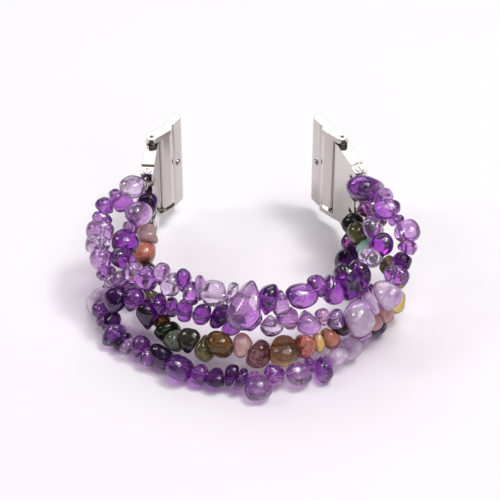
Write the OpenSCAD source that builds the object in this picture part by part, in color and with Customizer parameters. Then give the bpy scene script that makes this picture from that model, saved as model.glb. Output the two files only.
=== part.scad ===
// Crystal watch band: four strands of drilled, tumbled stone chips on elastic cords,
// hooked at both ends to a steel end block that is pinned to a slide-in lug adapter.
// The band lies on the floor with its width upright, +Z up, +Y towards the lugs.

/* [Lug adapters] */
// Length of the tongue that slides into the case groove
tongue_len = 27; // [24:0.5:28]
// Width of the tongue's pill-shaped section
tongue_w = 5.4; // [5:0.1:5.8]
// Thickness of the tongue
tongue_t = 2.6; // [2.4:0.1:2.8]
// Slope of the tongue's section against the band's own depth
tongue_tilt = 31; // [28:1:34]
// Thickness of the web between tongue and ears
web_t = 1.9; // [1.6:0.1:2.2]
// Thickness of each ear
ear_t = 1.5; // [1.2:0.1:1.7]
// Radius of an ear's round tip
ear_r = 1.45; // [1.3:0.05:1.6]
// How far the tongue's middle lies inwards of the hinge pin
tongue_in = 5.15; // [5:0.05:5.3]
// How far the tongue's middle lies behind the hinge pin
tongue_back = 7.05; // [6.9:0.05:7.2]
// How far the knee in the web lies inwards of the hinge pin
knee_in = 3.6; // [3.5:0.1:3.8]
// How far the knee in the web lies behind the hinge pin
knee_back = 3.5; // [3.3:0.1:3.7]
// Half the distance between the two hinge pins
pin_x = 24.3; // [23.8:0.1:24.8]
// Hinge pin's distance in front of the lug line
pin_y = 3.4; // [3:0.1:3.8]

/* [Hinge bar] */
// Outer diameter of the bar's tube
bar_d = 1.5; // [1.4:0.05:1.6]
// Diameter of the tips that sit in the ears
tip_d = 0.8; // [0.7:0.05:0.85]
// Wall of the bar's tube
bar_wall = 0.25; // [0.2:0.01:0.28]
// How far the sprung tip can be pushed in
tip_travel = 1.6; // [1.5:0.1:1.8]

/* [Latch] */
// Diameter of the sprung plunger in the tongue
latch_d = 1.8; // [1.6:0.1:2]
// How far the plunger stands out of the tongue
latch_out = 0.5; // [0.4:0.05:0.6]

/* [End blocks] */
// Thickness of an end block
block_t = 3.3; // [3.1:0.1:3.5]
// Distance from hinge pin to cord rod
block_len = 11.2; // [10.8:0.1:11.6]
// Metal left beyond the cord rod's centre
block_end = 1.2; // [1.1:0.05:1.3]
// Swing of the left block away from straight forward
lean_left = 4; // [2:1:6]
// Swing of the right block away from straight forward
lean_right = 21; // [19:1:23]
// Diameter of the cord rod
rod_d = 1.5; // [1.4:0.05:1.6]
// Height of the slot that each cord loop turns in
slot_h = 1.6; // [1.5:0.05:1.8]
// Distance between two neighbouring slots
slot_pitch = 5.4; // [5.2:0.1:5.6]

/* [Strands] */
// Width of the loop of strands, from side to side
loop_w = 84; // [82:1:88]
// Depth of the loop of strands, from the lug line to its front
loop_deep = 60; // [58:1:64]
// Diameter of the elastic cord
cord_d = 0.7; // [0.6:0.05:0.8]
// Diameter of the hole drilled in each stone
bore_d = 1.2; // [1.1:0.05:1.3]
// Air left between two stones that lean on each other
stone_gap = 0.2; // [0.15:0.05:0.3]
// Diameter of the crimp bead that closes a cord loop
crimp_d = 2.2; // [2.1:0.05:2.4]
// How far two stones that hang apart lean into each other's room
askew = 0.32; // [0.2:0.02:0.4]
// How far the loop of cord can swing on its rod, each way
loop_swing = 15; // [12:1:16]

/* [Stance] */
// Height of the band's middle above the floor
mid_z = 19; // [19:0.1:19.5]
// Sideways shift that centres the band on its origin
centre_x = -0.85; // [-1:0.05:1]
// Forward shift that centres the band on its origin
centre_y = 23.7; // [22:0.1:25]

/* [Hidden] */
$fn = 48;
play = 0.05;                         // running clearance on a radius
air = 0.3;                           // gap between pieces that pass each other
LEFT = -1;
RIGHT = 1;
OVAL = 0;
WEDGE = 1;
DISC = 2;
BLOCK = 3;
DROP = 4;
SHARD = 5;
Z = [0, 0, 1];

// The four strands. Each runs from the left block, round the front, to the right block, and
// two upright flex planes cut it into a left, a front and a right stretch. Route points lie
// where the cord passes; the lug line is y = 0 and the floor z = 0.
A_LEFT = [[-25.8, -14.6, 22.8], [-28.2, -18, 21.6], [-30.3, -22.4, 19.9], [-30.8, -26.6, 19],
    [-29.2, -30.6, 18.6]];
A_FRONT = [[-29.2, -30.6, 18.6], [-26.4, -33.4, 18.8], [-19.6, -36.2, 19.4], [-13.8, -39.4, 19.2],
    [-6, -42, 19.2], [1.3, -43, 19.2], [8.5, -42.8, 19.2], [14.6, -41, 19.2], [19.8, -38.4, 19.4],
    [24.6, -35.6, 19.6], [28.4, -31.4, 20.2]];
A_RIGHT = [[28.4, -31.4, 20.2], [30.8, -27.2, 21], [32.2, -22, 21.6], [31.4, -16, 21.7]];
B_LEFT = [[-30.6, -13.2, 27.6], [-34.8, -15, 25], [-35.8, -19.6, 22.6], [-36.2, -24.6, 20.2],
    [-35.9, -28.6, 18], [-34.2, -31.8, 15.9]];
B_FRONT = [[-34.2, -31.8, 15.9], [-30.6, -36.4, 13.4], [-24.9, -38.8, 12.8], [-19.3, -39.8, 12.8],
    [-10.7, -42.4, 12.8], [-2.9, -44, 12.6], [5.6, -44.6, 12.5], [12.9, -44, 12.5],
    [18.5, -42.8, 12.6], [24, -41.8, 12.9], [29.5, -40.6, 13.8], [33.4, -38, 15.4],
    [35.2, -35, 17]];
B_RIGHT = [[35.2, -35, 17], [38.8, -29.2, 21.2], [38.6, -23.8, 24.4], [36, -19.4, 26.4],
    [33.6, -15.8, 28.8], [31.6, -12.8, 29.2]];
C_LEFT = [[-26, -14.6, 15], [-26.4, -18, 12.2], [-25.8, -23, 9.8], [-24.6, -28.4, 7.6]];
C_FRONT = [[-24.6, -28.4, 7.6], [-23.4, -33, 7.6], [-21.6, -37.8, 8], [-18.8, -43.8, 8.2],
    [-14.2, -47, 8.3], [-6.5, -48.2, 8.6], [0.8, -49.2, 8.5], [8, -48.8, 8.5],
    [13.6, -47.5, 8.5], [19.1, -45, 8.6], [25.2, -41.2, 8.8], [31.4, -37.4, 8.8],
    [35.6, -34.6, 8.9]];
C_RIGHT = [[35.6, -34.6, 8.9], [37, -29.1, 10.8], [33.8, -22.3, 13.8], [27.6, -15.6, 16.6]];
D_LEFT = [[-27.4, -13.8, 7.6], [-29.4, -16, 3.9], [-31.6, -18.6, 3], [-34.6, -22.6, 3.2],
    [-37.4, -27, 3.8], [-36.4, -32.6, 3.8]];
D_FRONT = [[-36.4, -32.6, 3.8], [-34.4, -35.6, 3.7], [-30.9, -40.2, 3.6], [-26.2, -44.6, 3.6],
    [-20, -48.2, 3.6], [-13.8, -51.2, 3.5], [-7.7, -53.4, 3.5], [-1.6, -54.3, 3.5],
    [4.4, -53.8, 3.5], [10.5, -52.1, 3.5], [16.6, -49.4, 3.5], [21.6, -46.4, 3.5],
    [26.3, -41.8, 3.5], [30.2, -36.6, 3.5], [31.4, -31.8, 3.6]];
D_RIGHT = [[31.4, -31.8, 3.6], [31.4, -26, 3.1], [29, -19.4, 6.2], [25.9, -15.4, 9.2],
    [26.2, -13, 10.5]];

// The stones of each stretch, in order: length along the cord, size across it, the way
// its bulk hangs (0 up, 90 outwards, 180 down, 270 inwards), its kind and, where it is
// not the usual share of its size, how far off the cord its middle lies and how thick it is
// as a share of its size.
A_LEFT_STONES = [[3, 11.8, 345, OVAL, 1, 0.46], [4, 13, 340, OVAL, 4, 0.48], [2.4, 6, 120, OVAL],
    [5.8, 8.6, 80, OVAL, 0.6], [4.4, 6.8, 60, OVAL]];
A_FRONT_STONES = [[4.2, 6, 150, OVAL], [4.8, 6.8, 140, OVAL], [2.6, 6.6, 335, OVAL],
    [4, 7, 140, OVAL], [2.4, 6.4, 335, OVAL, 1.4], [2.8, 6.8, 140, OVAL], [1.6, 6.4, 315, DISC],
    [6, 7, 30, BLOCK], [2, 6.4, 330, DISC], [6.6, 13.6, 140, SHARD, 2], [3.6, 10, 20, OVAL, 0.2],
    [3.2, 7.8, 140, OVAL], [6.8, 7.8, 60, OVAL], [3.6, 6.4, 330, OVAL], [3.8, 12, 165, OVAL, 1.2, 0.6],
    [4.6, 12.6, 165, OVAL, 1.8, 0.65], [4.4, 9.2, 170, OVAL, 2]];
A_RIGHT_STONES = [[4.2, 6.2, 100, OVAL], [3.4, 7, 75, OVAL, 1.9], [4.2, 7, 330, OVAL],
    [3.4, 6.6, 70, OVAL], [3.8, 5.6, 290, WEDGE]];
B_LEFT_STONES = [[4.8, 6, 350, OVAL, 1.7, 1.15], [4, 7.6, 190, OVAL, 1.2], [3.4, 6.2, 40, OVAL],
    [2.6, 5.4, 80, OVAL], [4.4, 8.2, 80, OVAL, 0.2], [2.8, 7.8, 80, DISC, 0.5],
    [4.4, 10.4, 160, WEDGE, 0.6], [3, 6.6, 200, OVAL]];
B_FRONT_STONES = [[2.8, 8.8, 295, DISC, 1.5, 0.55], [4.6, 7.6, 150, OVAL, 1.7], [3.8, 7.2, 320, OVAL],
    [4.2, 9, 145, WEDGE, 2.2], [2.4, 7, 345, DISC], [2.6, 6, 320, OVAL], [3.8, 6.4, 330, OVAL],
    [4.4, 6, 340, OVAL], [4, 6.6, 330, BLOCK], [3.4, 6.8, 145, OVAL], [4.8, 6.4, 320, OVAL],
    [4.8, 7.6, 140, WEDGE], [4, 7.4, 335, OVAL], [4.8, 8.8, 145, OVAL], [2.6, 5.2, 330, OVAL],
    [3.8, 6.2, 140, OVAL], [5.8, 11, 80, OVAL], [3, 6.4, 340, DISC], [6, 9.6, 70, OVAL, 0.8]];
B_RIGHT_STONES = [[4.2, 7.2, 90, OVAL, 0.2], [4, 6.4, 200, OVAL], [2.8, 5.6, 60, OVAL],
    [5, 7, 70, OVAL], [2.4, 5, 180, OVAL], [4.6, 8.2, 250, OVAL, 1.2], [2.8, 7, 150, OVAL],
    [5.4, 13.4, 305, OVAL, 1.4, 0.54]];
C_LEFT_STONES = [[2.8, 6.6, 180, OVAL, 1.2], [1.6, 6.4, 270, DISC], [5, 7.6, 160, OVAL, 0.4],
    [3.6, 6.4, 200, BLOCK], [3.8, 5.6, 90, OVAL]];
C_FRONT_STONES = [[3.4, 5.8, 180, OVAL], [3, 5.4, 320, OVAL], [3.4, 6, 180, OVAL],
    [3, 5.6, 340, OVAL], [3.8, 7.4, 200, BLOCK], [3.6, 7.4, 150, OVAL], [4.2, 7.2, 340, OVAL, 0.4],
    [3.8, 7.4, 160, OVAL], [5, 7.4, 20, BLOCK], [4.2, 8.2, 330, WEDGE],
    [4.8, 7.8, 150, BLOCK], [6.2, 11, 120, SHARD, 1.2], [4.6, 7.6, 150, BLOCK, 0.6],
    [2.2, 6.2, 150, DISC, 0.7, 0.7], [3.8, 6.8, 140, OVAL], [4, 6.4, 330, OVAL], [4.4, 6.4, 300, BLOCK],
    [4.4, 6.6, 120, OVAL], [4, 6, 150, OVAL]];
C_RIGHT_STONES = [[5.4, 8.6, 170, OVAL, 2], [3.8, 5.6, 90, OVAL], [4.4, 5.8, 100, OVAL],
    [3.2, 5, 280, OVAL], [3.6, 6, 250, BLOCK], [4, 7, 330, OVAL], [4.2, 7.2, 280, OVAL, 1.4]];
D_LEFT_STONES = [[3.6, 6.2, 200, OVAL], [3.8, 7.4, 180, OVAL], [4, 6.6, 180, OVAL],
    [4, 6.2, 140, OVAL], [3.8, 6, 180, OVAL], [4.4, 10.4, 140, OVAL, 0.2, 0.62], [3.6, 5.6, 280, OVAL]];
D_FRONT_STONES = [[2.4, 5.6, 330, OVAL], [3, 6.8, 330, OVAL], [3.8, 9, 110, WEDGE],
    [2.2, 6, 120, OVAL], [2.4, 6, 100, OVAL], [3.6, 6.6, 330, OVAL], [2.8, 6, 110, OVAL],
    [5, 7.4, 340, OVAL], [5.8, 8, 60, OVAL], [3.8, 5.8, 110, OVAL], [4.2, 6, 90, OVAL],
    [2.8, 6, 340, OVAL], [2, 6.6, 40, DISC], [5.2, 9.4, 105, DROP], [5, 7.6, 330, WEDGE],
    [5.8, 8.8, 100, WEDGE], [1.9, 5.4, 340, OVAL], [3, 9, 105, DROP, 1.2], [5.2, 7.6, 45, OVAL],
    [4.4, 8, 60, OVAL, 0.8, 0.75], [5.6, 8, 20, DISC, 0.6, 0.7], [6.2, 7.4, 100, OVAL]];
D_RIGHT_STONES = [[4.4, 6.6, 80, OVAL], [4, 6.2, 270, OVAL], [4, 6.2, 240, OVAL],
    [4.4, 10, 200, OVAL], [3.6, 7.2, 280, OVAL, 1.3]];

// Strand order, inner top, outer top, mixed stones and lowest, and the slot each hooks into
STRANDS = ["inner", "outer", "mixed", "lower"];
PARTS = ["left", "front", "right"];
function to_loop(p) = [p[0] * loop_w / 84, p[1] * loop_deep / 60, p[2]];
ROUTES = [for (strand = [[A_LEFT, A_FRONT, A_RIGHT], [B_LEFT, B_FRONT, B_RIGHT],
    [C_LEFT, C_FRONT, C_RIGHT], [D_LEFT, D_FRONT, D_RIGHT]])
    [for (part = strand) [for (p = part) to_loop(p)]]];
STONES = [[A_LEFT_STONES, A_FRONT_STONES, A_RIGHT_STONES],
    [B_LEFT_STONES, B_FRONT_STONES, B_RIGHT_STONES],
    [C_LEFT_STONES, C_FRONT_STONES, C_RIGHT_STONES],
    [D_LEFT_STONES, D_FRONT_STONES, D_RIGHT_STONES]];
SLOT = [1, 0, 2, 3];

// Each flex plane stands upright through a pivot line just outside the band: its foot and
// the way it runs inwards. A stretch behind it can open outwards without touching.
FLEX_FOOT = [[-43, -35.1, 0], [41.2, -38, 0]];
FLEX_TURN = [20, 150];

// Vector helpers
function unit(v) = v / norm(v);
function flat(v) = [v[0], v[1], 0];
function last(v) = v[len(v) - 1];
function sum(v, i = 0) = i == len(v) ? 0 : v[i] + sum(v, i + 1);

// Smooth curve through route points, and the distance run along it
function curve_point(a, b, c, d, t) =
    (2 * b + (c - a) * t + (2 * a - 5 * b + 4 * c - d) * t * t
        + (3 * b - a - 3 * c + d) * t * t * t) / 2;
function curve(p, steps = 6) = concat([for (i = [0:len(p) - 2]) for (k = [0:steps - 1])
    curve_point(i == 0 ? 2 * p[0] - p[1] : p[i - 1], p[i], p[i + 1],
        i == len(p) - 2 ? 2 * p[i + 1] - p[i] : p[i + 2], k / steps)], [last(p)]);
function run(p) = [for (i = 0, s = 0; i < len(p);
    s = s + (i < len(p) - 1 ? norm(p[i + 1] - p[i]) : 0), i = i + 1) s];
function at(p, r, s) =
    let (i = [for (k = [0:len(r) - 2]) if (r[k + 1] >= s || k == len(r) - 2) k][0])
    p[i] + (p[i + 1] - p[i]) * (s - r[i]) / (r[i + 1] - r[i]);

// Places that several pieces share
block_h = tongue_len - 2 * ear_t - 2 * air;
knuckle_r = block_t / 2 + 0.1;
crimp_reach = block_end + crimp_d / 2 + 0.25;
leg_gap = cord_d / 2 + 0.1;
loop_r = rod_d / 2 + 0.1 + cord_d / 2;
function heading(side) = side == RIGHT ? [sin(lean_right), -cos(lean_right), 0]
    : [-sin(lean_left), -cos(lean_left), 0];
function pin(side) = [side * pin_x, pin_y, 0];
function rod(side) = pin(side) + block_len * heading(side);
function slot_z(n) = mid_z + (1.5 - n) * slot_pitch;
function hook(side, strand) = rod(side) + slot_z(SLOT[strand]) * Z;
function side_end(side, strand) = side == LEFT ? ROUTES[strand][0][0] : last(ROUTES[strand][2]);
function pull(side, strand) =
    unit(1.5 * heading(side) + unit(flat(side_end(side, strand) - rod(side))));
function crimp(side, strand) = hook(side, strand) + crimp_reach * pull(side, strand);
function strand_end(side, strand) =
    crimp(side, strand) + (crimp_d / 2 + stone_gap) * pull(side, strand);

// Where each cord passes from stone to stone
function route(strand, part) = part == 0 ? concat([strand_end(LEFT, strand)], ROUTES[strand][0])
    : part == 2 ? concat(ROUTES[strand][2], [strand_end(RIGHT, strand)]) : ROUTES[strand][1];
function knots(strand, part) =
    let (p = curve(route(strand, part)), r = run(p),
        lengths = [for (s = STONES[strand][part]) s[0]], total = sum(lengths))
    [for (i = 0, s = 0; i <= len(lengths); s = s + (i < len(lengths) ? lengths[i] : 0), i = i + 1)
        at(p, r, last(r) * s / total)];
KNOTS = [for (s = [0:3]) [for (p = [0:2]) knots(s, p)]];

// Directions of a stone's 42 corners, and the 80 triangles between them
GOLD = (1 + sqrt(5)) / 2;
TWELVE = [for (i = [0:2]) for (a = [-1, 1]) for (b = [-1, 1])
    let (p = [0, a, b * GOLD]) [p[i], p[(i + 1) % 3], p[(i + 2) % 3]]];
function near(i, j) = norm(TWELVE[i] - TWELVE[j]) < 2.1;
EDGES = [for (i = [0:10]) for (j = [i + 1:11]) if (near(i, j)) [i, j]];
TWENTY = [for (i = [0:9]) for (j = [i + 1:10]) for (k = [j + 1:11])
    if (near(i, j) && near(j, k) && near(i, k))
        cross(TWELVE[j] - TWELVE[i], TWELVE[k] - TWELVE[i]) * TWELVE[i] > 0
            ? [i, k, j] : [i, j, k]];
CORNERS = [for (p = concat(TWELVE, [for (e = EDGES) TWELVE[e[0]] + TWELVE[e[1]]])) unit(p)];
function mid(i, j) = 12 + [for (n = [0:len(EDGES) - 1])
    if (EDGES[n] == [min(i, j), max(i, j)]) n][0];
STONE_FACES = [for (f = TWENTY)
    let (a = mid(f[0], f[1]), b = mid(f[1], f[2]), c = mid(f[2], f[0]))
    each [[f[0], a, c], [a, f[1], b], [c, b, f[2]], [a, b, c]]];

// A stone's frame: along the cord, the way its bulk hangs, and square to both
bore_wall = 0.75;
function hang(s) =
    min(s[1] / 2 - bore_d / 2 - bore_wall, is_undef(s[4]) ? 0.3 + 0.35 * max(0, s[1] - 5) : s[4]);
function lean(strand, part, k) =
    let (a = KNOTS[strand][part][k], b = KNOTS[strand][part][k + 1], t = unit(b - a),
        out = unit(cross(t, Z)), turn = STONES[strand][part][k][2])
    cos(turn) * cross(out, t) + sin(turn) * out;
function stone(strand, part, k) =
    let (s = STONES[strand][part][k], a = KNOTS[strand][part][k], b = KNOTS[strand][part][k + 1],
        t = unit(b - a), e = lean(strand, part, k))
    [(a + b) / 2 + hang(s) * e, t, e, cross(t, e), s,
        rands(-1, 1, 12, 1000 * strand + 100 * part + k)];
ALL = [for (s = [0:3]) for (p = [0:2]) for (k = [0:len(STONES[s][p]) - 1])
    [stone(s, p, k), [s, p, k]]];

// How far a stone would reach along a direction if nothing stood in its way
function reach(st, v) =
    let (s = st[4], x = v * st[1], y = v * st[2], z = v * st[3],
        flatness = !is_undef(s[5]) ? s[5] : s[3] == DISC ? 0.94 : s[3] == BLOCK ? 0.88
            : 0.76 + 0.1 * st[5][0],
        power = s[3] == BLOCK || s[3] == SHARD ? 3.6 : 2.3,
        taper = s[3] == WEDGE ? -0.45 : s[3] == DROP ? 0.4 : s[3] == SHARD ? 0.26 : 0,
        wide = 1 + taper * y - abs(taper) / 3, lx = wide * (0.62 * s[0] + 0.12 * s[1]), ly = s[1] / 2,
        lz = wide * max(1.9, ly * flatness))
    pow(pow(abs(x / lx), power) + pow(abs(y / ly), power) + pow(abs(z / lz), power), -1 / power);

// Planes that hold a stone in: each has an outward direction and a distance from its centre
function plane(st, point, n) = [n, (point - st[0]) * n - stone_gap / 2];
function askew_at(strand, part, k) =
    let (list = KNOTS[strand][part], n = len(list) - 1,
        t = unit(list[min(k + 1, n)] - list[max(k - 1, 0)]))
    k == 0 || k == n ? t
        : let (s = STONES[strand][part],
            tilt = rands(-0.4, 0.4, 3, 7000 + 500 * strand + 50 * part + k),
            apart = lean(strand, part, k) - lean(strand, part, k - 1),
            share = askew * min(1, min(s[k - 1][0], s[k][0]) / 4))
        unit(t + share * (tilt - (tilt * t) * t + apart));
function end_planes(st, id) =
    let (at_block = id[1] == 0 ? 0 : id[1] == 2 ? len(STONES[id[0]][2]) - 1 : -1)
    concat(id[1] == 0 && id[2] == at_block ? []
        : [plane(st, KNOTS[id[0]][id[1]][id[2]], -askew_at(id[0], id[1], id[2]))],
        id[1] == 2 && id[2] == at_block ? []
        : [plane(st, KNOTS[id[0]][id[1]][id[2] + 1], askew_at(id[0], id[1], id[2] + 1))]);
function flex_normal(n) = [-sin(FLEX_TURN[n]), cos(FLEX_TURN[n]), 0] * (n == 0 ? 1 : -1);
function flex_planes(st, part) = part == 1
    ? [for (n = [0, 1]) plane(st, to_loop(FLEX_FOOT[n]), flex_normal(n))]
    : [plane(st, to_loop(FLEX_FOOT[part / 2]), -flex_normal(part / 2))];
function turned(v, a) = [v[0] * cos(a) - v[1] * sin(a), v[0] * sin(a) + v[1] * cos(a), v[2]];
function block_planes(st, part) = part == 1 ? [] :
    let (side = part - 1)
    [for (a = [-loop_swing, loop_swing]) let (n = -turned(heading(side), a))
        plane(st, rod(side) - (block_end + air) * n, n)];
function crimp_planes(st, part) = part == 1 ? [] :
    [for (s = [0:3]) let (c = crimp(part - 1, s), u = unit(c - st[0]))
        if (norm(c - st[0]) < st[4][1] + crimp_d) plane(st, c - (crimp_d / 2 + 0.1) * u, u)];
function room(st, u) =
    let (side = u * st[1])
    (bore_d / 2 + bore_wall) * sqrt(1 - side * side) + 0.35 * st[4][0] * abs(side)
        - hang(st[4]) * (st[2] * u);
function neighbour_planes(st, id) = [for (o = ALL)
    let (d = o[0][0] - st[0], away = norm(d))
    if (away > 0.01 && away < 0.6 * (st[4][1] + o[0][4][1]) + 2
        && !(o[1][0] == id[0] && o[1][1] == id[1] && abs(o[1][2] - id[2]) == 1))
        let (u = d / away, mine = reach(st, u), theirs = reach(o[0], -u), free = away - stone_gap)
        if (mine + theirs > free)
            [u, max(room(st, u), min(free - room(o[0], -u), free * mine / (mine + theirs)))]];
function facet_planes(st) = [for (i = [0:2])
    let (n = unit([st[5][3 * i + 1], st[5][3 * i + 2], st[5][3 * i + 3]]))
    [n, 0.86 * reach(st, n)]];
function planes(st, id) = concat(end_planes(st, id), flex_planes(st, id[1]),
    block_planes(st, id[1]), crimp_planes(st, id[1]), neighbour_planes(st, id),
    facet_planes(st), [[-Z, st[0][2]]]);
function corner(st, v, walls) =
    let (soft = 10, all = concat([reach(st, v)], [for (w = walls) if (w[0] * v > 0.05)
        w[1] / (w[0] * v)]))
    st[0] + v * pow(sum([for (r = all) pow(r, -soft)]), -1 / soft);
function stone_points(st, id) =
    let (walls = planes(st, id))
    [for (c = CORNERS) corner(st, c[0] * st[1] + c[1] * st[2] + c[2] * st[3], walls)];

// The drilled stones of one stretch of a strand
module stones(strand, part) {
    for (k = [0:len(STONES[strand][part]) - 1]) {
        st = stone(strand, part, k);
        a = KNOTS[strand][part][k];
        b = KNOTS[strand][part][k + 1];
        drill_past = st[4][1] / 2;
        color(strand == 2 ? "olive" : "mediumpurple") difference() {
            polyhedron(stone_points(st, [strand, part, k]), STONE_FACES, convexity = 4);
            along(a - drill_past * st[1], b) cylinder(d = bore_d, h = norm(b - a) + 2 * drill_past);
        }
    }
}

// Stands its children, made along +Z, at one point and points them at another
module along(a, b) {
    d = b - a;
    translate(a) rotate([0, acos(d[2] / norm(d)), atan2(d[1], d[0])]) children();
}

// One stretch of elastic cord, looped round its rod at a side stretch's outer end
function cord_loop(side, strand) =
    let (c = crimp(side, strand), e = pull(side, strand), n = cross(Z, e), h = hook(side, strand),
        mouth = c - crimp_d / 2 * e)
    concat([c - leg_gap * n, mouth - leg_gap * n],
        [for (a = [-75:-42:-285]) h + loop_r * (cos(a) * e + sin(a) * n)],
        [mouth + leg_gap * n, c + leg_gap * n, strand_end(side, strand) - air * e / 2]);
function cut_back(p) = concat([p[0] + stone_gap * unit(p[1] - p[0])],
    [for (i = [1:len(p) - 1]) p[i]]);
function backwards(p) = [for (i = [len(p) - 1:-1:0]) p[i]];
function cord_path(strand, part) =
    let (k = KNOTS[strand][part])
    part == 1 ? backwards(cut_back(backwards(cut_back(k))))
    : concat(cord_loop(part - 1, strand), part == 0 ? backwards(cut_back(backwards(k)))
        : backwards(cut_back(k)));
module cord(strand, part) {
    path = cord_path(strand, part);
    sides = 8;
    rings = len(path);
    points = [for (i = [0:rings - 1])
        let (t = unit(path[min(i + 1, rings - 1)] - path[max(i - 1, 0)]),
            x = unit(cross(t, Z)), y = cross(x, t))
        for (a = [0:sides - 1])
            path[i] + cord_d / 2 * (cos(360 * a / sides) * x + sin(360 * a / sides) * y)];
    caps = [[for (a = [0:sides - 1]) sides - 1 - a],
        [for (a = [0:sides - 1]) (rings - 1) * sides + a]];
    walls = [for (i = [0:rings - 2]) for (a = [0:sides - 1])
        let (b = (a + 1) % sides, p = i * sides, q = p + sides)
        each [[p + a, p + b, q + a], [p + b, q + b, q + a]]];
    color("gainsboro") polyhedron(points, concat(caps, walls), convexity = 6);
}

// Crimp beads that close the cord loops of one side
module crimps(side) {
    for (s = [0:3]) {
        c = crimp(side, s);
        e = pull(side, s);
        color("silver") difference() {
            translate(c) sphere(d = crimp_d);
            along(c - crimp_d * e, c) cylinder(r = leg_gap + cord_d / 2 + play, h = 2 * crimp_d);
        }
    }
}

// Draws a right-hand fitting on its side of the band
module on_side(side) {
    if (side == LEFT) mirror([1, 0, 0]) children();
    else children();
}

// Flat bar of a given width between two points, with round ends
module bar2d(a, b, w) {
    d = b - a;
    translate(a) {
        circle(d = w);
        rotate(atan2(d[1], d[0])) translate([0, -w / 2]) square([norm(d), w]);
    }
    translate(b) circle(d = w);
}

// The adapter's spine in plan, drawn for the right side
hinge = [pin_x, pin_y];
tongue_at = hinge + [-tongue_in, tongue_back];
tongue_dir = [sin(tongue_tilt), -cos(tongue_tilt)];
knee = hinge + [-knee_in, knee_back];
knee_dir = (hinge - knee) / norm(hinge - knee);
web_end = hinge - (knuckle_r + air + web_t / 2) * knee_dir;

// Where the latch plunger works: square to the tongue, out of its wrist face
latch_dir = [-cos(tongue_tilt), -sin(tongue_tilt), 0];
latch_face = [tongue_at[0], tongue_at[1], mid_z] + tongue_t / 2 * latch_dir;
latch_depth = tongue_t - 0.7;
spring_t = 0.25;

// Slide-in adapter: tongue, web and two drilled ears
module lug_adapter(side) {
    half = (tongue_w - tongue_t) / 2;
    low = mid_z - tongue_len / 2;
    color("silver") on_side(side) difference() {
        union() {
            translate([0, 0, low]) linear_extrude(tongue_len) {
                bar2d(tongue_at - half * tongue_dir, tongue_at + half * tongue_dir, tongue_t);
                bar2d(tongue_at + half * tongue_dir, knee, web_t);
                bar2d(knee, web_end, web_t);
            }
            for (z = [low, low + tongue_len - ear_t])
                translate([0, 0, z]) linear_extrude(ear_t) bar2d(knee, hinge, 2 * ear_r);
        }
        translate([pin_x, pin_y, low - 1]) cylinder(d = tip_d + 2 * play, h = tongue_len + 2);
        along(latch_face - latch_depth * latch_dir, latch_face + latch_dir)
            cylinder(d = latch_d, h = latch_depth + 1);
    }
}

// Sprung plunger that snaps into the case groove
module latch_plunger(side) {
    back = 2 * latch_out + spring_t + play;
    bevel = 0.25;
    length = latch_depth + 2 * latch_out - back;
    color("gainsboro") on_side(side)
        along(latch_face - (latch_depth - back + latch_out) * latch_dir, latch_face + 9 * latch_dir) {
            cylinder(d = latch_d - 2 * play, h = length - bevel);
            translate([0, 0, length - bevel])
                cylinder(d1 = latch_d - 2 * play, d2 = latch_d - 2 * play - 2 * bevel, h = bevel);
        }
}

// Spring washer behind the plunger
module latch_spring(side) {
    color("dimgray") on_side(side)
        along(latch_face - latch_depth * latch_dir, latch_face + 9 * latch_dir)
            difference() {
                cylinder(d = latch_d - 4 * play, h = spring_t);
                translate([0, 0, -1]) cylinder(d = latch_d / 2, h = spring_t + 2);
            }
}

// Hinge bar: a tube with one solid tip below and a lip that holds the sprung tip above
bar_low = mid_z - block_h / 2 - air + play;
bar_len = block_h + 2 * air - 2 * play;
bar_floor = 1;
bar_lip = 0.5;
tip_out = ear_t - air;
collar_h = 1.5;
tube_r = bar_d / 2 - bar_wall;
module bar_tube(side) {
    color("silver") on_side(side) translate([pin_x, pin_y, bar_low]) {
        difference() {
            cylinder(d = bar_d, h = bar_len);
            translate([0, 0, bar_floor]) cylinder(r = tube_r, h = bar_len - bar_floor - bar_lip);
            translate([0, 0, bar_len / 2]) cylinder(d = tip_d + 2 * play, h = bar_len);
        }
        translate([0, 0, -tip_out]) cylinder(d = tip_d, h = tip_out + 0.1);
    }
}

// Sprung tip with the collar that runs in the tube
module bar_tip(side) {
    collar_top = bar_low + bar_len - bar_lip - play;
    color("silver") on_side(side) translate([pin_x, pin_y, collar_top]) {
        translate([0, 0, -collar_h]) cylinder(r = tube_r - play, h = collar_h);
        translate([0, 0, -0.1]) cylinder(d = tip_d, h = bar_lip + play + tip_out + 0.1);
    }
}

// Coil spring between the tube's floor and the collar, drawn as the sleeve that it fills
module bar_spring(side) {
    spring_h = bar_len - bar_floor - bar_lip - collar_h - 3 * play;
    color("dimgray") on_side(side) translate([pin_x, pin_y, bar_low + bar_floor + play])
        difference() {
            cylinder(r = tube_r - play, h = spring_h);
            translate([0, 0, -1]) cylinder(r = tube_r / 2, h = spring_h + 2);
        }
}

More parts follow.
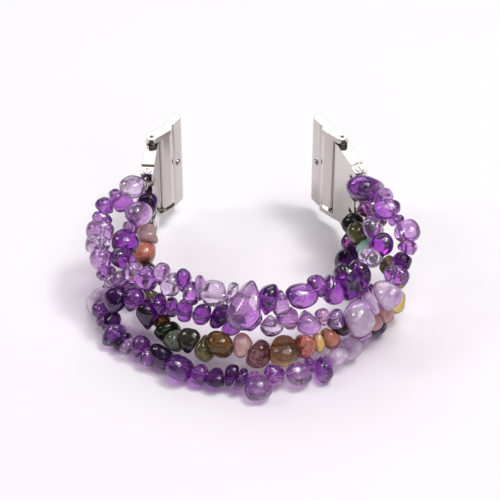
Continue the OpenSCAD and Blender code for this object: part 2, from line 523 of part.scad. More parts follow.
// End block in its own frame: +X along the block from the hinge pin
block_full = block_len + block_end;
corner_r = 0.5;
step_len = 3.3;
step_drop = 0.4;
module in_block(side) {
    lean = side == RIGHT ? lean_right : lean_left;
    on_side(side) translate([pin_x, pin_y, mid_z]) rotate(lean - 90) children();
}
module end_block(side) {
    color("silver") in_block(side) difference() {
        translate([0, 0, -block_h / 2]) linear_extrude(block_h) {
            circle(r = knuckle_r);
            translate([0, -block_t / 2]) square([block_full - corner_r, block_t]);
            translate([0, corner_r - block_t / 2]) square([block_full, block_t - 2 * corner_r]);
            for (y = [-1, 1])
                translate([block_full - corner_r, y * (block_t / 2 - corner_r)]) circle(r = corner_r);
        }
        for (s = [-1, 1])
            translate([block_full - step_len, -block_t, s * block_h / 2 - step_drop])
                cube([block_t + step_len, 2 * block_t, 2 * step_drop]);
        translate([0, 0, -block_h]) cylinder(d = bar_d + 2 * play, h = 2 * block_h);
        translate([block_len, 0, -block_h]) cylinder(d = rod_d + 2 * play, h = 2 * block_h);
        translate([block_len, 0, block_h / 2 - step_drop - rod_head_h])
            cylinder(r = rod_head_r + play, h = block_h);
        for (n = [0:3])
            translate([block_len - loop_r - cord_d / 2 - air, -block_t,
                slot_z(n) - mid_z - slot_h / 2])
                cube([2 * block_t, 2 * block_t, slot_h]);
    }
}

// Rod that the cord loops hook round, with a slotted head
rod_head_r = 1.05;
rod_head_h = 0.5;
driver_w = 0.4;
module cord_rod(side) {
    top = block_h / 2 - step_drop;
    color("gainsboro") in_block(side) translate([block_len, 0, 0]) difference() {
        union() {
            translate([0, 0, step_drop - block_h / 2]) cylinder(d = rod_d, h = block_h - 2 * step_drop);
            translate([0, 0, top - rod_head_h]) cylinder(r = rod_head_r, h = rod_head_h + 0.15);
        }
        translate([-2 * rod_head_r, -driver_w / 2, top - driver_w / 4])
            cube([4 * rod_head_r, driver_w, rod_head_h]);
    }
}

SIDE_NAMES = ["left", "right"];
FITTINGS = ["lug_adapter", "latch_plunger", "latch_spring", "bar_tube", "bar_tip", "bar_spring",
    "end_block", "cord_rod", "crimps"];
NODES = concat([for (s = SIDE_NAMES) for (f = FITTINGS) str(s, "_", f)],
    [for (s = STRANDS) for (p = PARTS) str(s, "_stones_", p)],
    [for (s = STRANDS) for (p = PARTS) str(s, "_cord_", p)]);
node = "all";

function wanted(name) = node == "all" || node == name;
translate([centre_x, centre_y, 0]) {
    for (i = [0, 1]) {
        side = i == 0 ? LEFT : RIGHT;
        hand = SIDE_NAMES[i];
        if (wanted(str(hand, "_lug_adapter"))) lug_adapter(side);
        if (wanted(str(hand, "_latch_plunger"))) latch_plunger(side);
        if (wanted(str(hand, "_latch_spring"))) latch_spring(side);
        if (wanted(str(hand, "_bar_tube"))) bar_tube(side);
        if (wanted(str(hand, "_bar_tip"))) bar_tip(side);
        if (wanted(str(hand, "_bar_spring"))) bar_spring(side);
        if (wanted(str(hand, "_end_block"))) end_block(side);
        if (wanted(str(hand, "_cord_rod"))) cord_rod(side);
        if (wanted(str(hand, "_crimps"))) crimps(side);
    }
    for (s = [0:3]) for (p = [0:2]) {
        if (wanted(str(STRANDS[s], "_stones_", PARTS[p]))) stones(s, p);
        if (wanted(str(STRANDS[s], "_cord_", PARTS[p]))) cord(s, p);
    }
}
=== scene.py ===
import math
import random

import bmesh
import bpy
import numpy as np
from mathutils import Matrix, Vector


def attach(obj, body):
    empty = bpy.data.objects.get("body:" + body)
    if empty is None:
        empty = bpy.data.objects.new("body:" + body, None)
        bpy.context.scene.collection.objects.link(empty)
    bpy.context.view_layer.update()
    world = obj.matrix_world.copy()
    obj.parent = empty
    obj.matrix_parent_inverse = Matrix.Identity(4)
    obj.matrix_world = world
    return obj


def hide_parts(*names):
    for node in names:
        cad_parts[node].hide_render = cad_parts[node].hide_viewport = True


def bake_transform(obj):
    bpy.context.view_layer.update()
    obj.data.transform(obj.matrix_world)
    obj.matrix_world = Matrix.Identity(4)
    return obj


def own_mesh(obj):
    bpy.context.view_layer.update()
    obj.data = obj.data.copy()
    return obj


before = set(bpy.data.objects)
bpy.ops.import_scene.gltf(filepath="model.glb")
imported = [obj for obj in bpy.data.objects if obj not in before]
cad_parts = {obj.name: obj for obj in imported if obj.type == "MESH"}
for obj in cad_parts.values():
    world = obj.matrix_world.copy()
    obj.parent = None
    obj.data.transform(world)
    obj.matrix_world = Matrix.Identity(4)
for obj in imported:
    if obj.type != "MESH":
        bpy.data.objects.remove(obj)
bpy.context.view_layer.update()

# The band is seen from the front and well above, with a long lens: its front strands lie near
# the viewer, its lug adapters at the back. The camera looks along +Y, 41.5 degrees down.
camera = bpy.data.objects.new("camera", bpy.data.cameras.new("camera"))
camera.data.sensor_width = 36
camera.data.lens = 129.8
camera.data.clip_start = 0.01
camera.location = (-0.000075, -0.3363, 0.3154)
camera.rotation_euler = (math.radians(90 - 41.5), 0, 0)
bpy.context.scene.collection.objects.link(camera)
bpy.context.scene.camera = camera


# Floor: a wide sheet of matt, near-white paper. Its colour holds painted shade: a breath of
# pink-lilac shadow towards the front and under the band, paling towards the back. It lies in
# a soft, pale room. Shader maths is written with Shade from here on.
class Shade:
    """An output of a node; maths on it adds nodes to its tree."""

    def __init__(self, tree, socket=None):
        self.tree = tree
        self.socket = socket

    def node(self, kind, inputs=None, out=0, **settings):
        """One of the outputs of a new node, whose inputs are linked or set."""
        made = self.tree.nodes.new("ShaderNode" + kind)
        for name, value in settings.items():
            setattr(made, name, value)
        for name, value in (inputs or {}).items():
            if isinstance(value, Shade):
                self.tree.links.new(value.socket, made.inputs[name])
            else:
                made.inputs[name].default_value = value
        return Shade(self.tree, made.outputs[out])

    def math(self, operation, a, b):
        return self.node("Math", {0: a, 1: b}, operation=operation)

    def __add__(self, other):
        return self.math("ADD", self, other)

    __radd__ = __add__

    def __sub__(self, other):
        return self.math("SUBTRACT", self, other)

    def __rsub__(self, other):
        return self.math("SUBTRACT", other, self)

    def __mul__(self, other):
        return self.math("MULTIPLY", self, other)

    __rmul__ = __mul__

    def size(self):
        return self.math("ABSOLUTE", self, 0)

    def clip(self):
        return self.math("MAXIMUM", self, 0)

    def noise(self, scale, detail, **more):
        """Noise from 0 to 1 at this place; the larger the scale, the finer it is."""
        return self.node("TexNoise", {"Vector": self, "Scale": scale, "Detail": detail, **more})

    def ramp(self, *stops):
        """The colour for this value, from stops that are a value and a colour each."""
        color = self.node("ValToRGB", {"Fac": self})
        elements = color.socket.node.color_ramp.elements
        while len(elements) < len(stops):
            elements.new(0.5)
        for element, (value, tone) in zip(elements, stops):
            element.position = value
            element.color = (*tone, 1)
        return color

    def mix(self, a, b):
        """Colour a where this value is 0, b where it is 1."""
        return self.node("Mix", {0: self, 6: a, 7: b}, 2, data_type="RGBA")

    def times(self, color, share=1.0):
        """This colour multiplied by the other one, or by a share of it."""
        return self.node("Mix", {0: share, 6: self, 7: color}, 2,
                         data_type="RGBA", blend_type="MULTIPLY")

    def between(self, a, b):
        """Shader a where this value is 0, b where it is 1."""
        return self.node("MixShader", {0: self, 1: a, 2: b})


def new_material(name):
    """A material, its empty tree, and the place on the object that is being shaded."""
    material = bpy.data.materials.new(name)
    material.use_nodes = True
    material.node_tree.nodes.clear()
    shade = Shade(material.node_tree)
    return material, shade, shade.node("TexCoord", out="Object")


def output(surface, volume=None, kind="Material"):
    end = surface.tree.nodes.new("ShaderNodeOutput" + kind)
    surface.tree.links.new(surface.socket, end.inputs["Surface"])
    if volume:
        surface.tree.links.new(volume.socket, end.inputs["Volume"])


bpy.ops.mesh.primitive_plane_add(size=6, location=(0, 0, 0))
floor = bpy.context.object
floor.name = "floor"
paper, shade, place = new_material("paper_sweep")
away = shade.node("SeparateXYZ", {"Vector": place}, "Y")
# Painted shade: the paper is darker and pinker towards the front, under and before the band, and
# pales towards the back.
paper_with_painted_shade = (away + 0.5).ramp((0.46, (0.95, 0.90, 0.945)), (0.60, (0.955, 0.94, 0.955)))
output(shade.node("BsdfPrincipled", {
    "Base Color": paper_with_painted_shade, "Roughness": 0.75, "Specular IOR Level": 0.2}))
floor.data.materials.append(paper)

world = bpy.data.worlds.new("pale_room")
bpy.context.scene.world = world
world.use_nodes = True
world.node_tree.nodes.clear()
sky = Shade(world.node_tree)
up = sky.node("TexCoord", out="Generated")
height = sky.node("SeparateXYZ", {"Vector": up}, "Z")
room = height.ramp(
    (0.0, (0.06, 0.055, 0.06)), (0.4, (0.09, 0.085, 0.09)), (1.0, (0.24, 0.235, 0.25)))
output(sky.node("Background", {"Color": room}), kind="World")

# Softboxes: sheets of diffused light that face the band. The key hangs above and a little to
# the right, and a small, hard one beside it gives the glints; the others fill in from around.
for name, place, width, tall, watts in (
        ("key", (0.22, -0.12, 0.78), 0.48, 0.48, 3.05),
        ("spot", (0.30, -0.06, 0.76), 0.11, 0.15, 1.5),
        ("back", (-0.10, 0.62, 0.56), 0.80, 0.40, 1.9),
        ("left", (-0.54, 0.02, 0.50), 0.12, 0.3, 0.9),
        ("front", (0.15, -0.72, 0.36), 0.8, 0.3, 0.8)):
    lamp = bpy.data.lights.new(name, "AREA")
    lamp.shape = "RECTANGLE"
    lamp.size = width
    lamp.size_y = tall
    lamp.energy = watts
    box = bpy.data.objects.new(name, lamp)
    box.location = place
    box.rotation_euler = (-Vector(place)).to_track_quat("-Z", "Y").to_euler()
    bpy.context.scene.collection.objects.link(box)

# Stones: tumbled and drilled chips of crystal. Each is a pebble that fills its CAD solid with
# rounded corners, a few worn facets and a bore whose rim is rounded by the tumbling.
MM = 0.001
BORE = 0.6  # radius, mm
RING = 0.73  # the corners of one ring of a CAD cord lie closer together than this, mm


def corners_and_faces(node):
    """A CAD node's corners in mm, each one once, and its triangles on them."""
    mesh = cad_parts[node].data
    points = np.array([v.co for v in mesh.vertices], float) / MM
    corners, index = np.unique(points.round(4), axis=0, return_inverse=True)
    index = index.reshape(-1)
    faces = np.array([[index[i] for i in p.vertices] for p in mesh.polygons])
    return corners, faces


def cord_knots(node, count):
    """Where a cord passes from stone to stone: the middles of its rings, left to right."""
    points = corners_and_faces(node)[0]
    middles = []
    while len(points):
        near = np.linalg.norm(points - points[0], axis=1) < RING
        middles.append(points[near].mean(0))
        points = points[~near]
    middles.sort(key=lambda p: math.atan2(p[0], -p[1]))
    if "left" in node:
        return middles[-count - 1:]
    return middles[:count + 1]


def solids(corners, faces):
    """The corners of each separate solid: a label spreads over the faces until it stands."""
    label = np.arange(len(corners))
    while True:
        low = label[faces].min(1)
        new = label.copy()
        np.minimum.at(new, faces.ravel(), np.repeat(low, 3))
        if (new == label).all():
            return [corners[label == k] for k in np.unique(label)]
        label = new


def hull_planes(points):
    """A solid's outer flats, the largest first: their outward normals and a point on each.
    Slivers are left out, and so are flats that face nearly the same way as a larger one."""
    sliver, same_way = 0.02, 0.996
    mesh = bmesh.new()
    for p in points:
        mesh.verts.new(p)
    bmesh.ops.convex_hull(mesh, input=mesh.verts)
    normals, on_plane = [], []
    for face in sorted(mesh.faces, key=lambda f: -f.calc_area()):
        normal = np.array(face.normal)
        if face.calc_area() >= sliver and all(normal @ n < same_way for n in normals):
            normals.append(normal)
            on_plane.append(np.array(face.verts[0].co))
    mesh.free()
    return np.array(normals), np.array(on_plane)


ROWS, COLUMNS = 34, 48  # of a stone's mesh, along its bore and around it
CRISP = 16  # the higher, the tighter a stone's edges are rounded
EGG = 1.03  # the size of the egg that rounds a stone off, by that of its solid
SWELL = 1.095  # makes up for what the rounding takes off a stone
FACETS, WORN = 7, (0.9, 0.99)  # worn flats, and the share of the solid's reach they leave
WAVES, WAVE_TURN, WAVE_HEIGHT = 5, 3.2, 0.006  # low waves, how fast they turn and how high
MOUTH, LIP = 1.3 * BORE, 1.08 * BORE  # radii of a bore's worn mouth and just below it, mm
LIP_DEEP, BORE_DEEP = 0.1, 0.3  # how far below its mouth a bore reaches them, mm


def pebble(points, flats, start, stop, lean, chance):
    """A stone's rings of points, from one mouth of its bore to the other and back inside."""
    normals, on_plane = flats
    axis = (stop - start) / np.linalg.norm(stop - start)
    middle = (start + stop) / 2
    side = np.cross(axis, (0.0, 0.0, 1.0))
    side /= np.linalg.norm(side)
    other = np.cross(axis, side)
    upright = other * math.copysign(SWELL, other[2])
    flats_off = ((on_plane - middle) * normals).sum(1).clip(0.15)

    # An egg, along the solid's own long and short ways and a little larger, rounds it off.
    turned = np.linalg.svd(points - points.mean(0), full_matrices=False)[2]
    ends = (points - middle) @ turned.T
    half = EGG * (ends.max(0) - ends.min(0)) / 2
    centre = (ends.max(0) + ends.min(0)) / 2 / half

    facets, facets_off = [], []
    for _ in range(FACETS):
        n = np.array([chance.gauss(0, 1) for _ in range(3)])
        n /= np.linalg.norm(n)
        facets.append(n)
        facets_off.append(((points - middle) @ n).max() * chance.uniform(*WORN))
    facets, facets_off = np.array(facets), np.array(facets_off).clip(1.0)
    waves = [(np.array([chance.gauss(0, 1) for _ in range(3)]), chance.uniform(0, 6.28))
             for _ in range(WAVES)]

    def reach(v):
        """How far the surface is from the middle of the bore, in the directions v."""
        flat = ((v @ normals.T).clip(0) / flats_off) ** CRISP
        facet = ((v @ facets.T).clip(0) / facets_off) ** CRISP
        way = (v @ turned.T) / half
        aa, ab = (way * way).sum(-1), way @ centre
        egg = (ab + np.sqrt((ab * ab - aa * (centre @ centre - 1)).clip(0))) / aa
        r = (flat.sum(-1) + facet.sum(-1) + egg ** -CRISP) ** (-1 / CRISP)
        ripple = sum(np.sin(WAVE_TURN * (v @ k) + phase) for k, phase in waves)
        return r * (1 + WAVE_HEIGHT * ripple)

    turn = np.arange(COLUMNS) * 2 * math.pi / COLUMNS
    around = np.cos(turn)[:, None] * side + np.sin(turn)[:, None] * other

    def direction(polar):
        return np.cos(polar)[..., None] * axis + np.sin(polar)[..., None] * around

    def mouth(sign):
        """The angles off the axis at which the surface meets the worn mouth of the bore."""
        polar = np.full(COLUMNS, 0.4)
        for _ in range(30):
            r = reach(direction(polar if sign > 0 else math.pi - polar))
            polar = 0.5 * polar + 0.5 * np.arcsin((MOUTH / r).clip(0, 0.95))
        return polar if sign > 0 else math.pi - polar

    first, last = mouth(1), mouth(-1)
    rings = []
    for i in range(ROWS + 1):
        v = direction(first + (last - first) * (i / ROWS))
        ring = v * reach(v)[:, None]
        rings.append(ring * SWELL + lean * (ring @ upright)[:, None] * axis)

    def inside(ring, radius, deep):
        """A ring of the bore, this far along the axis from a mouth's ring."""
        return (ring @ axis)[:, None] * axis + deep * axis + radius * around

    stop_mouth, start_mouth = rings[0], rings[-1]
    bore = [inside(start_mouth, LIP, LIP_DEEP), inside(start_mouth, BORE, BORE_DEEP),
            inside(stop_mouth, BORE, -BORE_DEEP), inside(stop_mouth, LIP, -LIP_DEEP)]
    return [ring + middle for ring in rings + bore]


# Amethyst chips, for three of the strands: quartz from almost clear to nearly black, with
# clouds and veils inside. A tone is the colour that the surface lends the light, the crystal
# that the chip is cut from, and how milky it is.
CRYSTALS = {  # colour let through, its density, soft sheen, veils, and colour of dark zones
    "water": ((0.80, 0.50, 0.86), 70, 0.6, 0.4, (0.76, 0.64, 0.84)),
    "clear": ((0.76, 0.36, 0.84), 170, 0.6, 0.4, (0.54, 0.40, 0.66)),
    "violet": ((0.78, 0.34, 0.88), 340, 0.6, 0.4, (0.54, 0.40, 0.66)),
    "deep": ((0.78, 0.36, 0.86), 680, 0.4, 0.2, (0.54, 0.40, 0.66)),
    "night": ((0.74, 0.46, 0.80), 1400, 0.0, 0.05, (0.40, 0.30, 0.50))}
AMETHYST = {
    "w": ((0.98, 0.91, 0.99), "water", 0.04),   # water clear
    "p": ((0.94, 0.74, 0.96), "clear", 0.08),   # pale lavender
    "k": ((0.97, 0.74, 0.88), "clear", 0.08),   # pinkish
    "c": ((1.00, 0.85, 1.00), "water", 0.32),   # cloudy lavender
    "h": ((1.00, 0.93, 1.00), "water", 0.55),   # milky white
    "g": ((0.79, 0.61, 0.80), "clear", 0.12),   # greyish lavender
    "m": ((0.87, 0.60, 0.92), "violet", 0.05),  # middle violet
    "v": ((0.76, 0.47, 0.80), "violet", 0.05),  # a shade darker
    "u": ((0.76, 0.46, 0.64), "violet", 0.06),  # plum
    "b": ((0.92, 0.60, 1.00), "violet", 0.04),  # bright violet
    "r": ((0.84, 0.48, 0.96), "deep", 0.03),    # strong violet
    "d": ((0.74, 0.46, 0.80), "deep", 0.03),    # deep violet
    "n": ((0.66, 0.42, 0.72), "night", 0.01)}   # nearly black
QUARTZ = 1.544  # index of refraction
WHITE = (1, 1, 1)


def crystal(name, through, density, sheen, veils, dark):
    """Glass that drinks its complement, clouded and veiled by a body that scatters light."""
    material, shade, place = new_material(name)
    tint = shade.node("Attribute", out="Color", attribute_name="tint")
    milk = shade.node("Attribute", out="Fac", attribute_name="milk")
    cloud = place.noise(330, 4, Roughness=0.55)
    zone = place.noise(170, 2, Distortion=0.8)
    color = tint.times(zone.ramp((0.38, dark), (0.56, WHITE)), 0.8)
    # Painted shade: the colour darkens towards the rim, where the surface turns away from the
    # view, for the stones' dark rims.
    facing = shade.node("LayerWeight", {"Blend": 0.4}, "Facing")
    color = color.times(facing.ramp((0.32, WHITE), (0.8, (0.40, 0.28, 0.48))))
    bump = shade.node("Bump", {
        "Strength": 0.02, "Distance": 0.0002, "Height": place.noise(2600, 3) + 2 * cloud})
    rough = 0.01 + 0.04 * cloud
    glass = shade.node("BsdfPrincipled", {
        "Base Color": color, "Roughness": rough, "IOR": QUARTZ, "Transmission Weight": 1.0,
        "Coat Weight": sheen, "Coat Roughness": 0.08, "Normal": bump})
    body = shade.node("BsdfPrincipled", {
        "Base Color": color, "Roughness": rough + 0.05, "IOR": QUARTZ, "Coat Weight": 0.9,
        "Coat Roughness": 0.05, "Subsurface Weight": 0.6, "Subsurface Scale": 0.002,
        "Subsurface Radius": (1.0, 0.7, 1.0), "Normal": bump})
    # A veil is a thin sheet, where its noise crosses the middle value.
    sheet = place.noise(240, 1, Distortion=1.4)
    veil = (1 - (sheet - 0.5).size() * 40).clip()
    milky = milk * 2 * (cloud + 0.1) + veils * veil * zone
    # Half of the light that a shadow ray asks for comes through, tinted by the stone.
    shadow = shade.node("LightPath", out="Is Shadow Ray")
    clear = shade.node("BsdfTransparent", {"Color": (0.80, 0.74, 0.81, 1)})
    surface = (shadow * 0.5).between(milky.between(glass, body), clear)
    drink = shade.node("VolumeAbsorption", {"Color": (*through, 1), "Density": density})
    output(surface, drink)
    return material


stuff = {name: crystal("amethyst_" + name, *value) for name, value in CRYSTALS.items()}

# Mixed stones, for the third strand: mottled, banded and flecked chips of many kinds, some as
# clear as smoky glass. Each has its main colour, its veins' colour and how dense it is.
STONES = {
    "peach": ((0.74, 0.22, 0.13), (0.82, 0.42, 0.32), 0.7),
    "cream": ((0.92, 0.70, 0.66), (0.74, 0.48, 0.48), 0.45),
    "smoke": ((0.46, 0.41, 0.38), (0.16, 0.13, 0.12), 0.25),
    "black": ((0.012, 0.011, 0.011), (0.05, 0.04, 0.03), 0.95),
    "moss": ((0.006, 0.012, 0.005), (0.03, 0.04, 0.015), 0.6),
    "sage": ((0.16, 0.18, 0.13), (0.05, 0.055, 0.035), 0.75),
    "olive": ((0.30, 0.27, 0.09), (0.07, 0.05, 0.02), 0.3),
    "bronze": ((0.36, 0.18, 0.05), (0.04, 0.02, 0.01), 0.35),
    "rose": ((0.84, 0.44, 0.43), (0.90, 0.62, 0.58), 0.5),
    "garnet": ((0.15, 0.035, 0.04), (0.55, 0.28, 0.30), 0.3),
    "amber": ((0.50, 0.25, 0.05), (0.24, 0.19, 0.19), 0.08),
    "coral": ((0.95, 0.30, 0.25), (0.10, 0.02, 0.02), 0.65),
    "yellow": ((1.00, 0.66, 0.24), (1.00, 0.80, 0.46), 0.6),
    "rust": ((0.60, 0.20, 0.10), (0.74, 0.38, 0.32), 0.55),
    "citrine": ((1.00, 0.72, 0.08), (1.00, 0.82, 0.30), 0.35),
    "beige": ((0.85, 0.70, 0.52), (0.66, 0.50, 0.36), 0.6),
    "jade": ((0.30, 0.70, 0.44), (0.55, 0.82, 0.60), 0.6)}
SOFT_IOR = 1.45  # a little low, so that the stones mirror less of the pale room


def mottled():
    """Clear and dense stone, mixed by how dense each chip is."""
    material, shade, place = new_material("mixed_stone")
    tint = shade.node("Attribute", out="Color", attribute_name="tint")
    vein = shade.node("Attribute", out="Color", attribute_name="vein")
    milk = shade.node("Attribute", out="Fac", attribute_name="milk")
    cloud = place.noise(420, 5, Roughness=0.62, Distortion=1.2)
    fleck = place.noise(1500, 3)
    bands = (0.75 * cloud + 0.25 * fleck).ramp((0.44, (0, 0, 0)), (0.62, WHITE))
    # Painted shade: the colour darkens towards the rim, where the surface turns away from the
    # view, for the stones' dark edges.
    facing = shade.node("LayerWeight", {"Blend": 0.4}, "Facing")
    painted_rim_shade = facing.ramp((0.3, WHITE), (0.8, (0.36, 0.30, 0.30)))
    color = bands.mix(tint, vein).times(painted_rim_shade)
    bump = shade.node("Bump", {"Strength": 0.04, "Distance": 0.0002, "Height": cloud})
    rough = 0.02 + 0.08 * fleck
    glass = shade.node("BsdfPrincipled", {
        "Base Color": color, "Roughness": rough, "IOR": SOFT_IOR, "Transmission Weight": 1.0,
        "Normal": bump})
    body = shade.node("BsdfPrincipled", {
        "Base Color": color, "Roughness": rough + 0.06, "IOR": SOFT_IOR, "Coat Weight": 0.3,
        "Coat Roughness": 0.04, "Normal": bump})
    output(milk.between(glass, body))
    return material


stuff["mixed"] = mottled()

# Strands: the chips sit on their cords one against the next, each with a lean of its own.
# TONES lists them from left to right, LEANING says how far they lean and which leans most.
STRANDS = ("inner", "outer", "mixed", "lower")
PARTS = ("left", "front", "right")
BODY = {"left": "left_side", "front": "front", "right": "right_side"}
TONES = {
    "inner_left": "npprd", "inner_front": "pmpwdmpwwgdpmvvdd", "inner_right": "wrwuu",
    "outer_left": "wmbmpwpb", "outer_front": "gndnddddnmmwkpkpccc", "outer_right": "mnmpmmpb",
    "lower_left": "uurdmhd", "lower_front": "dnmnwdmnddnndpbpbbccpn", "lower_right": "udpnu",
    "mixed_left": "cream cream peach black smoke",
    "mixed_front": "olive smoke moss bronze moss sage black olive bronze rose garnet amber coral "
                   "yellow rust black black rose rose",
    "mixed_right": "citrine beige olive sage jade olive moss"}
LEANING = {"inner": (0.3, 9), "outer": (0.3, 16), "mixed": (0.12, 12), "lower": (-0.3, 15)}
SWING = 0.8  # how fast the lean swings from chip to chip, in radians
ABOVE_FLOOR = 0.02  # the lowest that a stone reaches, mm


def add_piece(name, vertices, faces, materials):
    """A smooth piece from vertices in metres."""
    mesh = bpy.data.meshes.new(name)
    mesh.from_pydata(vertices, [], faces)
    mesh.polygons.foreach_set("use_smooth", [True] * len(mesh.polygons))
    for material in materials:
        mesh.materials.append(material)
    piece = bpy.data.objects.new(name, mesh)
    bpy.context.scene.collection.objects.link(piece)
    return piece


def string_stones(strand, part):
    """All the stones of one stretch as one piece, in the place of their CAD solids."""
    node = strand + "_stones_" + part
    found = solids(*corners_and_faces(node))
    flats = [hull_planes(points) for points in found]
    knots = cord_knots(strand + "_cord_" + part, len(found))
    most, leaner = LEANING[strand]
    tones = TONES[strand + "_" + part]
    vertices, faces, tints, veins, milks, slots, kinds = [], [], [], [], [], [], []
    for k, tone in enumerate(tones.split() if strand == "mixed" else tones):
        half_way = (knots[k] + knots[k + 1]) / 2
        outside = [((half_way - p) * n).sum(1).max() for n, p in flats]
        own = int(np.argmin(outside))
        lean = most * math.sin(math.pi * (k + 0.5) / len(found)) * math.cos(SWING * (k - leaner))
        rings = pebble(found[own], flats[own], knots[k], knots[k + 1], lean,
                       random.Random(node + str(k)))
        base = len(vertices)
        for ring in rings:
            ring[:, 2] = ring[:, 2].clip(ABOVE_FLOOR)
            vertices.extend(ring * MM)
        for i in range(len(rings)):
            j = (i + 1) % len(rings)
            for a in range(COLUMNS):
                b = (a + 1) % COLUMNS
                faces.append([base + row * COLUMNS + column
                              for row, column in ((i, a), (j, a), (j, b), (i, b))])
        if strand == "mixed":
            kind = "mixed"
            color, vein, milk = STONES[tone]
        else:
            color, kind, milk = AMETHYST[tone]
            vein = color
        if kind not in kinds:
            kinds.append(kind)
        count = len(rings) * COLUMNS
        tints += [(*color, 1)] * count
        veins += [(*vein, 1)] * count
        milks += [milk] * count
        slots += [kinds.index(kind)] * count
    piece = add_piece(node + "_polished", vertices, faces, [stuff[kind] for kind in kinds])
    for name, kind, values in (("tint", "FLOAT_COLOR", tints), ("vein", "FLOAT_COLOR", veins),
                               ("milk", "FLOAT", milks)):
        layer = piece.data.attributes.new(name, kind, "POINT")
        layer.data.foreach_set("value" if kind == "FLOAT" else "color",
                               np.array(values, np.float32).ravel())
    piece.data.polygons.foreach_set("material_index", slots)
    piece.data.update()
    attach(piece, BODY[part])
    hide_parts(node)


for strand in STRANDS:
    for part in PARTS:
        string_stones(strand, part)

# Elastic cords: clear silicone, 0.7 mm thick, one for each strand, threaded through its stones
# and looped round the rods. Between the front and each side, a stretch of cord spans two stones.
CORD = 0.35  # radius, mm
DRAWN = 1.05 * CORD  # radius of the stretch that is drawn out and covers both ends, mm
RING_STEPS, STRETCH_STEPS = 5, (6, 28, 6)  # of the curves, from one point to the next
elastic, shade, place = new_material("clear_elastic")
haze = place.noise(900, 2)
output(shade.node("BsdfPrincipled", {
    "Base Color": haze.mix((0.80, 0.76, 0.84, 1), (0.92, 0.90, 0.95, 1)),
    "Roughness": 0.18 + 0.15 * haze, "IOR": 1.42, "Transmission Weight": 0.55}))


def cord_middles(node):
    """The middles of a cord's rings in mm, from its end at the left or at the flex hinge."""
    corners, faces = corners_and_faces(node)
    if node.endswith("front"):
        left = corners[corners[:, 0] <= 0]
        first = left[np.argmax(left[:, 1])]
    else:
        first = corners[np.argmin(corners[:, 1])]
    touching = [set() for _ in corners]
    for face in faces:
        for i in face:
            touching[i].update(face)
    ring = set(np.flatnonzero(np.linalg.norm(corners - first, axis=1) < RING))
    seen, middles = set(), []
    while ring:
        middles.append(corners[sorted(ring)].mean(0))
        seen |= ring
        ring = {j for i in ring for j in touching[i]} - seen
    return middles


def smooth(points, steps):
    """A curve through points, with its number of steps from each one to the next."""
    p = [2 * points[0] - points[1], *points, 2 * points[-1] - points[-2]]
    curve = []
    for i, count in enumerate(steps):
        a, b, c, d = p[i:i + 4]
        for k in range(count):
            t = k / count
            curve.append((2 * b + (c - a) * t + (2 * a - 5 * b + 4 * c - d) * t * t
                          + (3 * b - a - 3 * c + d) * t ** 3) / 2)
    return np.array(curve + [points[-1]])


def tube(name, points, radius, material, sides=12):
    """A round length of cord or wire along a curve in mm."""
    along = np.gradient(points, axis=0)
    along /= np.linalg.norm(along, axis=1)[:, None]
    side = np.cross(along[0], (0.0, 0.0, 1.0))
    turn = np.arange(sides)[:, None] * 2 * math.pi / sides
    vertices = []
    for point, way in zip(points, along):
        side = side - (side @ way) * way
        side /= np.linalg.norm(side)
        ring = point + radius * (np.cos(turn) * side + np.sin(turn) * np.cross(way, side))
        vertices.extend(ring * MM)
    last = (len(points) - 1) * sides
    faces = [list(range(sides))[::-1], list(range(last, last + sides))]
    for i in range(0, last, sides):
        for a in range(sides):
            b = (a + 1) % sides
            faces.append([i + a, i + b, i + sides + b, i + sides + a])
    return add_piece(name, vertices, faces, [material])


for strand in STRANDS:
    middles = {part: cord_middles(strand + "_cord_" + part) for part in PARTS}
    for part in PARTS:
        node = strand + "_cord_" + part
        curve = smooth(middles[part], [RING_STEPS] * (len(middles[part]) - 1))
        piece = tube(node + "_drawn", curve, CORD, elastic)
        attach(piece, BODY[part])
        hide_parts(node)
    front = middles["front"]
    for part, near, next_near in (("left", front[0], front[1]), ("right", front[-1], front[-2])):
        far, next_far = middles[part][:2]
        knots = [(next_near + near) / 2, near, far, (far + next_far) / 2]
        piece = tube(strand + "_cord_stretch_" + part, smooth(knots, STRETCH_STEPS), DRAWN,
                     elastic)
        near * MM
        far * MM
        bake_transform(piece)


# Fittings: the lug adapters, hinge bars, end blocks, cord rods and crimp beads, of stainless
# steel that is ground and polished to a mirror, with broken edges and hairline wear.
def polished(name, color, smoothest, worn):
    """Steel whose roughness starts at its smoothest, with hairlines as strong as it is worn."""
    material, shade, place = new_material(name)
    wear = place.noise(260, 5)
    edge = shade.node("Bevel", {"Radius": 0.00018}, samples=6)
    bump = shade.node("Bump", {
        "Strength": worn, "Distance": 0.00005, "Height": place.noise(4000, 2), "Normal": edge})
    dull = tuple(0.94 * c for c in color)
    output(shade.node("BsdfPrincipled", {
        "Base Color": wear.mix((*dull, 1), (*color, 1)), "Metallic": 1.0,
        "Roughness": smoothest + 0.12 * wear, "Normal": bump}))
    return material


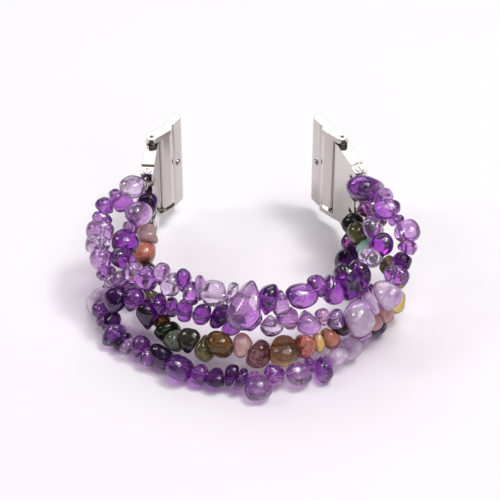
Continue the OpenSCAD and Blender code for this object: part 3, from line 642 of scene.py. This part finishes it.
steel = polished("polished_steel", (0.61, 0.57, 0.545), 0.05, 0.05)
for side in ("left", "right"):
    for name in ("lug_adapter", "latch_plunger", "bar_tube", "bar_tip", "end_block", "cord_rod",
                 "crimps"):
        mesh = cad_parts[side + "_" + name].data
        mesh.materials.clear()
        mesh.materials.append(steel)

# Coil springs of hard-drawn wire: a long one in each hinge bar, below its sprung tip, and a
# small one behind each latch plunger.
spring_steel = polished("spring_steel", (0.45, 0.45, 0.46), 0.2, 0.2)
PLAY = 0.02  # between a coil and its sleeve, mm
TURN_STEPS = 20  # of the curve, in one turn of a coil
for side in ("left", "right"):
    # Each spring, the piece that presses it, its joint, and in mm the joint's travel, the
    # radius of the wire and the pitch of the coil.
    for name, driver, joint, travel, wire, pitch in (
            ("bar_spring", "bar_tip", "bar_tip_slide", 1.6, 0.06, 0.42),
            ("latch_spring", "latch_plunger", "latch_press", 0.5, 0.1, 0.5)):
        sleeve = corners_and_faces(side + "_" + name)[0]
        pusher = corners_and_faces(side + "_" + driver)[0]
        middle = (sleeve.min(0) + sleeve.max(0)) / 2
        way = (pusher.min(0) + pusher.max(0)) / 2 - middle
        way /= np.linalg.norm(way)
        low = ((sleeve - middle) @ way).min()
        high = ((pusher - middle) @ way).min()
        across = np.cross(way, (0.3, 0.5, 0.8))
        across /= np.linalg.norm(across)
        beyond = np.cross(way, across)
        flat = sleeve - middle - ((sleeve - middle) @ way)[:, None] * way
        radius = np.linalg.norm(flat, axis=1).max() - wire - PLAY
        turns = (high - low - 2 * wire) / pitch
        count = int(turns * TURN_STEPS)
        turn = np.linspace(0, 2 * math.pi * round(turns), count)[:, None]
        climb = np.linspace(low + wire, high - wire, count)[:, None]
        curve = middle + climb * way + radius * (np.cos(turn) * across + np.sin(turn) * beyond)
        piece = tube(side + "_" + name + "_coil", curve, wire, spring_steel, 6)
        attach(piece, side + "_adapter")
        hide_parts(side + "_" + name)
        (middle + low * way) * MM
        1 - travel / (high - low)
        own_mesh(piece)

bpy.context.scene.view_settings.view_transform = "Standard"
